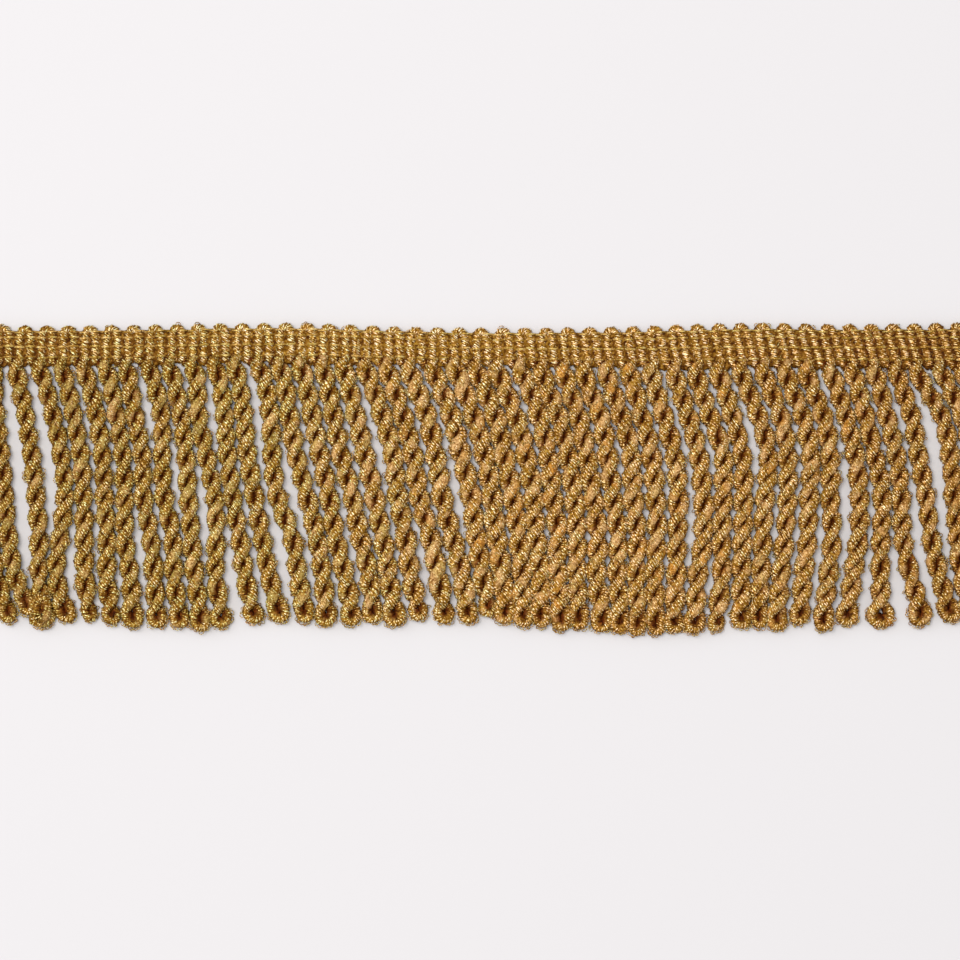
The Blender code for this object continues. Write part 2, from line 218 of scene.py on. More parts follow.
# Loose thread
Fuzz = namedtuple("Fuzz", "count least most")
RIB_FUZZ = Fuzz(6, 0.2, 0.5)
STRAND_FUZZ = Fuzz(110, 0.25, 0.75)
LOOP_FUZZ = Fuzz(8, 0.25, 0.6)
LOOP_FUZZ_NEAR = 2.6  # this near a strand's lowest point
FUZZ_STEP = 0.5
FUZZ_FOOT = 0.86
FUZZ_SIDEWAYS = 0.3  # radians below the cord's sides
FUZZ_SPREAD = 0.6
FUZZ_WIDE = (0.3, 0.7)
FUZZ_TWIST = 0.8
FUZZ_POINTS = 6
FUZZ_THREAD = 0.11
FUZZ_SIDES = 3
FUZZ_TONE = (0.2, 0.7)
# painted glints along a loose thread, in glints per point
FUZZ_BEADS = 0.7

# A strand's two plies
PLY_POINTS = 120
PLY_THIN = 1.28  # half size of a ply towards the middle of its strand
PLY_BROAD = 1.58
PLY_OUT = 1.34  # from the middle of a strand to the middle of a ply, across
PLY_UP = 0.85
PLY_UNEVEN = 0.16
PLY_UNEVEN_STEP = 5.0
EYE_UNEVEN = 0.30
EYE_UNEVEN_STEP = 8.0
ROOT_EYES = 0.6  # the plies close up from the ribs over this many eyes
ROOT_FADES = 20  # depth at which a strand no longer follows the heading's lower edge
STRAND_MID = 2.05
END_MID = 1.55
END_EYES = 0.6
END_FLATTER = 0.3
HEART_NEAR = 1.26  # yarn this near the middle of a strand is painted dark, as shade between its plies
HEART_FAR = 2.02
HEART_PAST = 1.1  # the inner side of the yarn reaches this share of the way to the middle
# Painted shade: the least share of its light that low yarn keeps
YARN_DARKEST = 0.45
YARN_LOW = 0.9  # painted shade: from here up to the next height a strand's yarn grows lighter
YARN_HIGH = 3.1

# The loop at a strand's end
LOOP_CORD = 1.28
LOOP_GROWS = 1.13
LOOP_UNEVEN = 0.16
LOOP_SQUARE = 2.7
LOOP_EYES = 0.5
LOOP_POINTS = 22
LOOP_TILT = 0.20
LOOP_TILT_EYES = 2
LOOP_SWAY = 0.5
LOOP_MID = 1.60
LOOP_HEART = 0.2
END_GROWS = 0.08
END_GROWS_EYES = 3

# The plies are thinner towards both ends of the trim
Girth = namedtuple("Girth", "along share")
GIRTHS = (Girth(-130, 1.00), Girth(-60, 1.02), Girth(0, 1.15), Girth(50, 1.09), Girth(130, 1.02))

# The yarn is more olive left of the first of these places and more orange right of the second
HUE_TURNS_FROM = -70.0
HUE_TURNS_TO = 20.0
HUE_BY_PLACE = 0.4

# Painted shade: the yarn is darker towards both ends of the trim
Shade = namedtuple("Shade", "along strands ribs")
SHADES = (
    Shade(-130, 0.82, 0.72),
    Shade(-90, 0.89, 0.80),
    Shade(-45, 1.07, 0.99),
    Shade(-10, 1.16, 1.09),
    Shade(20, 1.10, 1.00),
    Shade(60, 1.05, 0.88),
    Shade(100, 0.94, 0.70),
    Shade(130, 0.88, 0.55),
)

# The heading's ribs
GROOVE_LOW = 1.36  # painted shade: from here up to the next height a rib's yarn grows lighter
GROOVE_HIGH = 2.04
TOP_LIGHTENS = 0.5  # over this length above the ground's edge the yarn grows light too, as the painted shade lifts
RIB_OFF = PITCH / 4
RIB_WIDE = 1.17
RIB_WIDE_VARIES = 0.4
RIB_HIGH = 1.30
RIB_MID = 1.30
RIB_BELOW_FOOT = 0.2
RIB_POINTS = 20
FOOT_THINNER = 0.08
FOOT_THINS_FROM = 0.5
FOOT_THINS_OVER = 0.8
BEND_OFF = 1.05
BEND_HIGH = 0.80
BEND_SQUARE = 2.6
BEND_POINTS = 15
BEND_RUN_IN = 1.6
BEND_SWELL = 0.88
BEND_THINS_FROM = 6.8
BEND_THINS_OVER = 1.2

# The threads that bind the ribs
Binding = namedtuple("Binding", "up radius")
BINDINGS = (Binding(1.30, 0.27), Binding(4.10, 0.29), Binding(6.50, 0.27), Binding(7.95, 0.22))
PINCHING = BINDINGS[:3]
BINDING_PINCH = 0.12
PINCH_LENGTH = 0.55
BINDING_FLAT = 0.5
BINDING_STEPS = 8  # from one rib to the next
BINDING_SIDES = 6
BINDING_RIDES = 0.5  # share of its radius that a thread's middle lies above the rib under it
BINDING_SQUARE = 0.7
BINDING_APART = 0.12
BINDING_WANDER = 0.25
BINDING_WANDER_STEP = 4.0
BINDING_TONE = Spread(0.15, 0.28)
BINDING_TONE_STEP = 0.8
BINDING_HUE = Spread(0.2, 0.4)
BINDING_HUE_STEP = 9.0
# the phase of the painted glints along a binding thread
BINDING_GLINT = Spread(0.25, 0.1)

# The woven ground between the ribs, which ends inside the cut ends
CUT_INSET = 0.2
GROUND_TOP = 1.76
GROUND_EDGE = 1.2
GROUND_BACK = 0.2
GROUND_BELOW_TOP = 1.35  # the scallops stand this far above the ground's edge
GROUND_BELOW_FOOT = 1.5
GROUND_FRAY_STEP = 1.1
NOTCH_DIP = 0.70
GROUND_STEP = 0.42
GROUND_ROWS = 22
WEAVE_HIGH = 0.14
WEAVE_ROUGH = 0.25
GROUND_HUE = 0.4
# The ground's random mottle, held low as painted shade between the ribs
GROUND_LIGHT = Spread(0.10, 0.65)
GROUND_SHADE = 0.7  # the square of the ribs' painted shade that leaves the ground's painted light as it is


def smooth(share):
    """A share from 0 to 1, eased at both ends."""
    share = np.clip(share, 0.0, 1.0)
    return share * share * (3 - 2 * share)


def smooth_read(at, places, values):
    """The values at places, on a smooth curve through the given values."""
    places, values = np.asarray(places, float), np.asarray(values, float)
    at = np.clip(np.asarray(at, float), places[0], places[-1])
    left = np.clip(np.searchsorted(places, at) - 1, 0, len(places) - 2)
    right = left + 1
    span = places[right] - places[left]
    t = (at - places[left]) / span
    slopes = np.empty(len(places))
    slopes[1:-1] = (values[2:] - values[:-2]) / (places[2:] - places[:-2])
    slopes[0] = (values[1] - values[0]) / (places[1] - places[0])
    slopes[-1] = (values[-1] - values[-2]) / (places[-1] - places[-2])
    return (
        values[left] * (2 * t**3 - 3 * t**2 + 1)
        + values[right] * (3 * t**2 - 2 * t**3)
        + span * slopes[left] * (t**3 - 2 * t**2 + t)
        + span * slopes[right] * (t**3 - t**2)
    )


def spread(amount, share):
    """A value from its least up to that and its extra, by a share from 0 to 1."""
    return amount.least + amount.extra * share


def column(rows, name):
    """One field of each row."""
    return [getattr(row, name) for row in rows]


def lean_at(along):
    share = smooth((np.asarray(along) - LEAN_STARTS) / (LEAN_ENDS - LEAN_STARTS))
    return math.tan(math.radians(LEAN_DEGREES)) * share


def foot_at(along):
    return smooth_read(along, column(BAND_WAVE, "along"), column(BAND_WAVE, "foot"))


def top_at(along):
    return BAND_HEIGHT + smooth_read(along, column(BAND_WAVE, "along"), column(BAND_WAVE, "top"))


def notch_at(number):
    return (number - SCALLOPS / 2) * PITCH


def leaned(along, up):
    """A place on the heading, moved by the lean of its ribs."""
    return along + lean_at(along) * (LEAN_PIVOT * BAND_HEIGHT - up)


# Where the trim's own middle lies in the row frame: its heading starts at the CAD node's left end,
# and its tallest scallop reaches that node's top.
heading_low, heading_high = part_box("heading")
SHIFT_X = heading_low.x / MM - notch_at(0) - lean_at(notch_at(0)) * LEAN_PIVOT * BAND_HEIGHT
SHIFT_Y = heading_high.y / MM - max(top_at(notch_at(n) + PITCH / 2) for n in range(SCALLOPS))


# Noise


def lattice(rng, along, around, noise):
    """Smooth random values from 0 to 1 over the surface of a cord."""
    u = (along - along.min()) / noise.step
    v = (around / math.tau * noise.sectors) % noise.sectors
    i, j = np.floor(u).astype(int), np.floor(v).astype(int) % noise.sectors
    s, t = smooth(u - i), smooth(v - np.floor(v))
    grid = rng.random((i.max() + 2, noise.sectors))
    k = (j + 1) % noise.sectors
    near = (1 - t) * grid[i, j] + t * grid[i, k]
    far = (1 - t) * grid[i + 1, j] + t * grid[i + 1, k]
    return (1 - s) * near + s * far


def waver(rng, along, step):
    """Smooth random values from 0 to 1 along a line."""
    return lattice(rng, along, along * 0, Noise(step, 1))


def drifted(hue, line):
    """A cord's hues, moved from olive towards orange the further right it lies."""
    right = smooth((line[:, 0].mean() - HUE_TURNS_FROM) / (HUE_TURNS_TO - HUE_TURNS_FROM))
    return (1 - HUE_BY_PLACE) * smooth(hue) + HUE_BY_PLACE * right


# Meshes


class Skein:
    """Gathers tubes and threads, then makes them one mesh."""

    def __init__(self):
        self.points, self.quads, self.materials, self.yarns = [], [], [], []
        self.count = 0

    def add(self, points, quads, material, yarn):
        self.points.append(points.reshape(-1, 3))
        self.quads.append(quads.reshape(-1, 4) + self.count)
        self.materials.append(np.full(quads.size // 4, material, np.int32))
        self.yarns.append(yarn.reshape(-1, 3))
        self.count += points.size // 3

    def made(self, name, materials):
        points = np.concatenate(self.points) + (SHIFT_X, SHIFT_Y, 0.0)
        points[:, 2] = np.maximum(points[:, 2], LOWEST)
        quads = np.concatenate(self.quads)
        mesh = bpy.data.meshes.new(name)
        mesh.vertices.add(len(points))
        mesh.vertices.foreach_set("co", (points * MM).ravel())
        mesh.loops.add(quads.size)
        mesh.loops.foreach_set("vertex_index", quads.ravel().astype(np.int32))
        mesh.polygons.add(len(quads))
        mesh.polygons.foreach_set("loop_start", np.arange(0, quads.size, 4, dtype=np.int32))
        mesh.polygons.foreach_set("material_index", np.concatenate(self.materials))
        mesh.polygons.foreach_set("use_smooth", np.ones(len(quads), bool))
        mesh.update(calc_edges=True)
        colours = np.ones((len(points), 4), np.float32)
        colours[:, :3] = np.concatenate(self.yarns)
        yarn = mesh.color_attributes.new(name="yarn", type="FLOAT_COLOR", domain="POINT")
        yarn.data.foreach_set("color", colours.ravel())
        for material in materials:
            mesh.materials.append(material)
        obj = bpy.data.objects.new(name, mesh)
        bpy.context.scene.collection.objects.link(obj)
        return obj


def lengths_of(line):
    """Each point's distance along the line."""
    return np.concatenate([[0], np.cumsum(np.linalg.norm(np.diff(line, axis=0), axis=1))])


def resampled(line, step):
    """A polyline's points at an even step, with their distances along it."""
    lengths = lengths_of(line)
    count = max(int(round(lengths[-1] / step)), 2)
    at = np.linspace(0, lengths[-1], count + 1)
    return np.stack([np.interp(at, lengths, line[:, k]) for k in range(3)], 1), at


def unit(vectors):
    return vectors / np.linalg.norm(vectors, axis=1)[:, None]


def axes_of(line):
    """Along, side and up at each point of a line that lies roughly level."""
    along = unit(np.gradient(line, axis=0))
    side = unit(np.cross(along, (0.0, 0.0, 1.0)))
    return along, side, np.cross(side, along)


def ring_quads(rings, sides):
    """The faces between rings of points, each ring closed."""
    start = np.arange(rings - 1)[:, None] * sides
    here, after = np.arange(sides), (np.arange(sides) + 1) % sides
    return np.stack([start + here, start + after, start + sides + after, start + sides + here], -1)


def strip_quads(rows, columns):
    """The faces of an open grid of points."""
    start = np.arange(rows - 1)[:, None] * columns
    here = np.arange(columns - 1)
    far = start + columns
    return np.stack([start + here, start + here + 1, far + here + 1, far + here], -1)


def read(at, places, values):
    """Each column of values, read at the places."""
    return np.stack([np.interp(at, places, line) for line in values.T], -1)


def add_cord(skein, line, rng, wide, high, wraps, heart=None, lit=1.0):
    """A core along the line with threads wound round it.

    wide and high are the half sizes of its section at the line's points. Where it winds round a
    heart, a point for each of the line's points, wide is towards it, and the yarn near it is painted
    dark, as shade.
    """
    lengths = lengths_of(line)
    fine, places = resampled(line, FINE_STEP)
    along, side, up = axes_of(fine)
    spin = np.zeros(len(places))
    reach = None
    if heart is not None:
        out = fine - read(places, lengths, heart)
        reach = np.linalg.norm(out, axis=1)
        spin = np.unwrap(np.arctan2((out * up).sum(1), (out * side).sum(1)))
    cos, sin = np.cos(spin)[:, None], np.sin(spin)[:, None]
    first, second = side * cos + up * sin, up * cos - side * sin
    wide, high = np.interp(places, lengths, wide), np.interp(places, lengths, high)

    def on_surface(at, around, radius, forward=0.0, inward=None):
        """Points round the cord. On its inner side they reach inward, where that is given."""
        local = around - np.interp(at, places, spin)
        across = radius * np.interp(at, places, wide) * np.cos(local)
        if inward is not None:
            inner = HEART_PAST * np.interp(at, places, inward) * np.cos(local)
            across = np.where(np.cos(local) < 0, inner, across)
        above = radius * np.interp(at, places, high) * np.sin(local)
        point = read(at, places, fine) + across[..., None] * read(at, places, first)
        point = point + above[..., None] * read(at, places, second)
        return point + np.asarray(forward)[..., None] * read(at, places, along)

    def painted_light(point, at):
        """Painted light and shade at a point of the surface: 0 by the heart or in the groove, about 1
        well off it.
        """
        shares = column(SHADES, "ribs" if heart is None else "strands")
        light = lit * np.interp(point[..., 0], column(SHADES, "along"), shares)
        if heart is None:
            # Painted shade in the grooves between the ribs, lifted above the ground's edge
            crest = smooth((point[..., 2] - GROOVE_LOW) / (GROOVE_HIGH - GROOVE_LOW))
            above = point[..., 1] - top_at(point[..., 0]) + GROUND_BELOW_TOP
            return light * np.maximum(crest, smooth(above / TOP_LIGHTENS))
        # Painted shade between a strand's plies, and on lower yarn
        off = np.linalg.norm(point - read(at, lengths, heart), axis=-1)
        off = off * np.sqrt(PLY_THIN / np.interp(at, places, wide))
        height = smooth((point[..., 2] - YARN_LOW) / (YARN_HIGH - YARN_LOW))
        light = light * (YARN_DARKEST + (1 - YARN_DARKEST) * height)
        return light * smooth((off - HEART_NEAR) / (HEART_FAR - HEART_NEAR))

    # Core
    rings = max(int(round(places[-1] / CORE_STEP)), 2) + 1
    at = np.linspace(0, places[-1], rings)[:, None] + np.zeros(CORE_SIDES)
    around = np.zeros((rings, 1)) + np.arange(CORE_SIDES) / CORE_SIDES * math.tau
    least = RIB_PATCHES if heart is None else STRAND_PATCHES
    height = on_surface(at, around, CORE, inward=reach)[..., 2]
    crest = 0.0 if heart is None else PATCHES_ON_TOP * smooth((height - PATCH_LOW) / PATCH_RISE)
    patch = smooth((lattice(rng, at, around, PATCHES) + crest - least) / PATCH_EDGE)
    hue = drifted(lattice(rng, at, around, CORE_HUES), fine)
    rough = lattice(rng, at, around, CORE_BUMPS)
    radius = CORE + CORE_BULGE * patch + CORE_ROUGH * (rough - 0.5)
    radius[[0, -1]] *= CORE_TIP
    points = on_surface(at, around, radius, inward=reach)
    yarn = np.stack([patch, hue, painted_light(points, at)], -1)
    skein.add(points, ring_quads(rings, CORE_SIDES), 0, yarn)

    # Wound threads
    lead = wraps * WRAP_PITCH
    steps = max(int(round(places[-1] / lead * WRAP_SIDES)), 4) + 1
    for start in range(wraps):
        row = np.linspace(WRAP_END, places[-1] - WRAP_END, steps)
        turn = row / lead * math.tau + start / wraps * math.tau
        wander = WRAP_WANDER / wraps * (lattice(rng, row, turn, WRAP_WANDERS) - 0.5)
        crest = 1.0 + CREST_VARIES * (rng.random(steps) - CREST_SHARE)
        half = WRAP_HALF * spread(WRAP_HALF_VARIES, rng.random(steps))
        ridge = wander + CREST_SLIPS * (rng.random(steps) - 0.5)
        forward = np.stack([wander - half, ridge, wander + half], 1)
        radii = np.stack([np.full(steps, WRAP_FOOT), crest, np.full(steps, WRAP_FOOT)], 1)
        points = on_surface(row[:, None] + np.zeros(3), turn[:, None] + np.zeros(3), radii, forward)
        tone = TONE_LEAST + TONE_FINE * rng.random(steps) + TONE_BROAD * lattice(rng, row, turn, TONES)
        # The thread's tone takes the painted light and shade too
        tone = tone * (TONE_IN_DARK + (1 - TONE_IN_DARK) * painted_light(points[:, 1], row))
        hue = drifted(lattice(rng, row, turn, THREAD_HUES), fine)
        beads = RIB_BEADS if heart is None else STRAND_BEADS
        bead = beads * turn / math.tau + BEAD_SHIFT * rng.random()
        # On the ribs the thread is redder, and lighter as a painted highlight
        if heart is None:
            hue = hue + RIB_REDDER
            tone = tone * RIB_GLINT
        yarn = np.stack([tone, hue, bead], 1)[:, None, :] + np.zeros((1, 3, 1))
        # Painted shade at the thread's edges, where it meets the core
        yarn[:, (0, 2), 0] *= TONE_AT_EDGES * rng.random((steps, 2))
        skein.add(points, strip_quads(steps, 3), 1, yarn)


# Strands


def kept_apart(places, depth):
    places = list(places)
    for _ in range(PUSHES):
        for left in range(len(places) - 1):
            crossing = left == CROSSING and depth > CROSSING_FROM
            least = CROSSING_PITCH if crossing else LEAST_PITCH
            lack = least - (places[left + 1] - places[left])
            if lack > 0:
                places[left] -= lack / 2
                places[left + 1] += lack / 2
    return places


def strand_lines():
    """For each strand, where along the trim it lies at each level."""
    depths = [0.0, *DRIFT_DEPTHS]
    rows = []
    for number, strand in enumerate(STRANDS):
        notch = notch_at(number + 1)
        root = leaned(notch, foot_at(notch)) - notch
        rows.append(notch + smooth_read(LEVELS, depths, [root, *strand[: len(DRIFT_DEPTHS)]]))
    return np.array([kept_apart(*pair) for pair in zip(np.array(rows).T, LEVELS)]).T


def strand_path(line, strand, foot, lift, rng):
    """The line of a strand's cord, and its heart: down one ply, round the loop, up the other."""
    span = strand.reach - LAST_EYE_ABOVE_END - FIRST_EYE

    def depth_of(eye):
        share = eye / (EYES - 1)
        return FIRST_EYE + span * ((1 - TWIST_EASES) * share + TWIST_EASES * share**2)

    def over_last(eyes):
        """A rise from 0 to 1 over that many eyes before the last one."""
        return smooth((eye - EYES + 1 + eyes) / eyes)

    loop_wide = strand.loop * (LOOP_GROWS + LOOP_UNEVEN * (rng.random() - 0.5))
    loop_out = max((loop_wide - 2 * LOOP_CORD) / 2, PLY_OUT)
    eye = np.linspace(-1, EYES - 1, PLY_POINTS)
    depth = depth_of(eye)
    tilt = rng.uniform(-LOOP_TILT, LOOP_TILT)
    phase = eye + EYE_UNEVEN * smooth(eye + 1) * (waver(rng, depth, EYE_UNEVEN_STEP) - 0.5)
    phase = phase + tilt * over_last(LOOP_TILT_EYES)
    middle = np.interp(depth, LEVELS, line)
    root = smooth((eye + 1) / ROOT_EYES)
    last = over_last(LOOP_EYES)
    end = over_last(END_EYES)
    out = RIB_OFF + (PLY_OUT - RIB_OFF) * root + (loop_out - PLY_OUT) * last
    mid = RIB_MID + (STRAND_MID - RIB_MID) * root + (END_MID - STRAND_MID) * end
    mid = mid + lift * smooth((depth - CROSSING_FROM) / CROSSING_RAMP)
    rise = PLY_UP * (1 - END_FLATTER * end)
    girth = np.interp(middle.mean(), column(GIRTHS, "along"), column(GIRTHS, "share"))
    out = out * (1 + (girth - 1) * root * (1 - last))
    plies = []
    for side in (1, -1):
        x = middle + side * out * np.cos(np.pi * phase)
        z = mid + side * rise * np.sin(np.pi * phase)
        plies.append(np.stack([x, -depth, z], 1))
    if (EYES - 1) % 2:
        plies.reverse()
    # After the last eye the first of these plies is on the right.
    right, left = plies
    low = strand.reach - LOOP_CORD - depth_of(EYES - 1)
    turn = np.linspace(0, math.pi, LOOP_POINTS)[1:-1]
    drift = np.interp(depth[-1] + low, LEVELS, line) - middle[-1]
    drift = drift + rng.uniform(-LOOP_SWAY, LOOP_SWAY)
    centre, half = (right[-1] + left[-1]) / 2, (right[-1] - left[-1]) / 2
    down = np.array([drift, -low, LOOP_MID + lift - centre[2]])
    across = np.sign(np.cos(turn)) * np.abs(np.cos(turn)) ** (2 / LOOP_SQUARE)
    below = np.sin(turn) ** (2 / LOOP_SQUARE)
    loop = centre + across[:, None] * half + below[:, None] * down
    path = np.concatenate([right, loop, left[::-1]])
    axis = np.stack([middle, -depth, mid], 1)
    inside = np.tile(centre + LOOP_HEART * down, (len(turn), 1))
    heart = np.concatenate([axis, inside, axis[::-1]])
    for points in (path, heart):
        points[:, 1] += foot * smooth(1 + points[:, 1] / ROOT_FADES)
    sizes = []
    lengths = lengths_of(path)
    uneven = 1 + PLY_UNEVEN * (waver(rng, lengths, PLY_UNEVEN_STEP) - 0.5)
    for ply in (PLY_THIN, PLY_BROAD):
        size = girth * ply + (RIB_HIGH - girth * ply) * (1 - root) + (LOOP_CORD - girth * ply) * last
        size = size * (1 + END_GROWS * over_last(END_GROWS_EYES) * (1 - last))
        sizes.append(np.concatenate([size, np.full(len(turn), LOOP_CORD), size[::-1]]) * uneven)
    return path, heart, *sizes


def coil(path):
    """A turn of cord that lies on a strand's loop, and its heart."""
    low = path[np.argmin(path[:, 1])]
    middle = np.array([low[0], low[1] + COIL_HIGH + COIL_ABOVE_END, COIL_MID])
    turn = np.linspace(math.radians(COIL_STARTS), math.radians(COIL_STOPS), COIL_POINTS)
    reach = np.linspace(1.0, COIL_CLOSES, COIL_POINTS)
    line = np.stack([COIL_WIDE * np.cos(turn) * reach, COIL_HIGH * np.sin(turn) * reach, 0 * turn], 1)
    return middle + line, np.tile(middle, (COIL_POINTS, 1))


def add_fuzz(skein, path, size, rng, fuzz, heart=None):
    """Tiny loops of loose thread that stand out of a cord of that half size."""
    fine, places = resampled(path, FUZZ_STEP)
    size = np.interp(places, lengths_of(path), size)
    inside = None if heart is None else read(places, lengths_of(path), heart)
    along, side, up = axes_of(fine)
    for _ in range(fuzz.count):
        at = rng.integers(2, len(fine) - 2)
        around = rng.uniform(-FUZZ_SIDEWAYS, math.pi + FUZZ_SIDEWAYS)
        out = side[at] * math.cos(around) + up[at] * math.sin(around)
        if inside is not None:
            out = fine[at] - inside[at] + FUZZ_SPREAD * out
            out -= along[at] * (out @ along[at])
            out /= np.linalg.norm(out)
        height = rng.uniform(fuzz.least, fuzz.most)
        width = rng.uniform(*FUZZ_WIDE)
        twist = rng.uniform(-FUZZ_TWIST, FUZZ_TWIST)
        run = along[at] * math.cos(twist) + np.cross(out, along[at]) * math.sin(twist)
        t = np.linspace(0, math.pi, FUZZ_POINTS)[:, None]
        line = fine[at] + out * (FUZZ_FOOT * size[at] + height * np.sin(t)) + run * width * np.cos(t)
        forward = unit(np.gradient(line, axis=0))
        first = np.cross(forward, out)
        first /= np.linalg.norm(first, axis=1)[:, None] + TINY
        second = np.cross(first, forward)
        angle = np.arange(FUZZ_SIDES) / FUZZ_SIDES * math.tau
        points = line[:, None] + FUZZ_THREAD * (
            np.cos(angle)[:, None] * first[:, None] + np.sin(angle)[:, None] * second[:, None]
        )
        yarn = np.zeros((len(t), FUZZ_SIDES, 3)) + (rng.uniform(*FUZZ_TONE), rng.random(), 0.0)
        yarn[..., 2] = FUZZ_BEADS * np.arange(len(t))[:, None]
        skein.add(points, ring_quads(len(t), FUZZ_SIDES), 1, yarn)


# Heading


def rib_path(number):
    """One scallop's cord: up a rib, over and down the next."""
    middle = notch_at(number) + PITCH / 2
    bend_foot = top_at(middle) - RIB_WIDE - BEND_HIGH
    theta = np.linspace(math.pi, 0, BEND_POINTS)
    x = np.sign(np.cos(theta)) * np.abs(np.cos(theta)) ** (2 / BEND_SQUARE) * BEND_OFF
    y = bend_foot + BEND_HIGH * np.sin(theta) ** (2 / BEND_SQUARE)
    legs = []
    for side in (-1, 1):
        low = foot_at(middle + side * RIB_OFF) - RIB_BELOW_FOOT
        up = np.linspace(low, bend_foot, RIB_POINTS)[:-1]
        bending = smooth((up - bend_foot + BEND_RUN_IN) / BEND_RUN_IN)
        out = RIB_OFF - (RIB_OFF - BEND_OFF) * bending
        legs.append(np.stack([middle + side * out, up], 1))
    line = np.concatenate([legs[0], np.stack([x + middle, y], 1), legs[1][::-1]])
    line[:, 0] = leaned(line[:, 0], line[:, 1])
    return np.column_stack([line, np.full(len(line), RIB_MID)])


def rib_swell(path):
    """How thick the cord is along a rib: drawn in where a binding thread crosses it."""
    up = path[:, 1] - foot_at(path[:, 0])
    size = np.ones(len(path))
    for binding in PINCHING:
        size -= BINDING_PINCH * np.exp(-(((up - binding.up) / PINCH_LENGTH) ** 2))
    size -= FOOT_THINNER * smooth((FOOT_THINS_FROM - up) / FOOT_THINS_OVER)
    size -= (1 - BEND_SWELL) * smooth((up - BEND_THINS_FROM) / BEND_THINS_OVER)
    return size


def add_binding(skein, binding, phase, rng):
    """A thin thread woven over one rib and under the next along the whole heading."""
    steps = SCALLOPS * 2 * BINDING_STEPS + 1
    along = np.linspace(notch_at(0) + CUT_INSET, notch_at(SCALLOPS) - CUT_INSET, steps)
    low = foot_at(along)
    up = low + binding.up / BAND_HEIGHT * (top_at(along) - low)
    wave = np.cos((along - notch_at(0) - RIB_OFF) / (2 * RIB_OFF) * math.pi + phase * math.pi)
    wave = np.sign(wave) * np.abs(wave) ** BINDING_SQUARE
    rise = RIB_HIGH * (1 - BINDING_PINCH) + BINDING_RIDES * binding.radius
    up = up + (BINDING_APART if phase else -BINDING_APART)
    up = up + BINDING_WANDER * (waver(rng, along, BINDING_WANDER_STEP) - 0.5)
    line = np.stack([leaned(along, up), up, RIB_MID + rise * wave], 1)
    forward = unit(np.gradient(line, axis=0))
    first = unit(np.cross(forward, (0.0, 1.0, 0.0)))
    second = np.cross(first, forward)
    angle = np.arange(BINDING_SIDES) / BINDING_SIDES * math.tau
    points = line[:, None] + binding.radius * (
        BINDING_FLAT * np.cos(angle)[:, None] * first[:, None]
        + np.sin(angle)[:, None] * second[:, None]
    )
    tone = spread(BINDING_TONE, waver(rng, along, BINDING_TONE_STEP))
    hue = spread(BINDING_HUE, waver(rng, along, BINDING_HUE_STEP))
    yarn = np.stack([tone, hue, spread(BINDING_GLINT, rng.random(steps))], 1)
    yarn = yarn[:, None, :] + np.zeros((1, BINDING_SIDES, 1))
    skein.add(points, ring_quads(steps, BINDING_SIDES), 1, yarn)


def ground_band(rng):
    """The woven ground, a closed band: its upper face undulates, its edges meet the back."""
    skein = Skein()
    start, stop = notch_at(0) + CUT_INSET, notch_at(SCALLOPS) - CUT_INSET
    columns = int(round((stop - start) / GROUND_STEP)) + 1
    along = np.linspace(start, stop, columns)
    share = np.linspace(0, 1, GROUND_ROWS)[:, None]
    low = foot_at(along) - GROUND_BELOW_FOOT * waver(rng, along, GROUND_FRAY_STEP)
    high = top_at(along) - GROUND_BELOW_TOP - NOTCH_DIP * np.cos(along / PITCH * math.pi) ** 2
    up = low + share * (high - low)
    x = leaned(along + np.zeros_like(up), up)
    weave = np.sin(along / GROUND_STEP * math.pi + np.arange(GROUND_ROWS)[:, None] * math.pi)
    z = GROUND_TOP + WEAVE_HIGH * weave + WEAVE_ROUGH * (rng.random(up.shape) - 0.5)
    z[[0, -1]] = GROUND_EDGE
    z[:, [0, -1]] = GROUND_BACK
    face = np.stack([x, up, z], -1)
    back = np.stack([x[[-1, 0]], up[[-1, 0]], np.full((2, columns), GROUND_BACK)], -1)
    loop = np.concatenate([face, back])
    rows = len(loop)
    # Random mottle, held low as painted shade between the ribs, times the painted shade along the trim
    painted_light = spread(GROUND_LIGHT, rng.random((rows, columns)))
    shade = np.interp(along, column(SHADES, "along"), column(SHADES, "ribs"))
    painted_light = painted_light * shade**2 / GROUND_SHADE
    yarn = np.stack([0 * painted_light, 0 * painted_light + GROUND_HUE, painted_light], -1)
    grid = np.arange(rows * columns).reshape(rows, columns)
    around = np.concatenate([grid, grid[:1]])
    quads = np.stack([around[:-1, :-1], around[:-1, 1:], around[1:, 1:], around[1:, :-1]], -1)
    skein.add(loop, quads, 0, yarn)
    return skein


# Materials


def display(red, green, blue):
    """A colour named by its 0 to 255 display values, as the linear colour a material takes."""
    shares = (value / 255 for value in (red, green, blue))
    return (*(((s + 0.055) / 1.055) ** 2.4 for s in shares), 1.0)


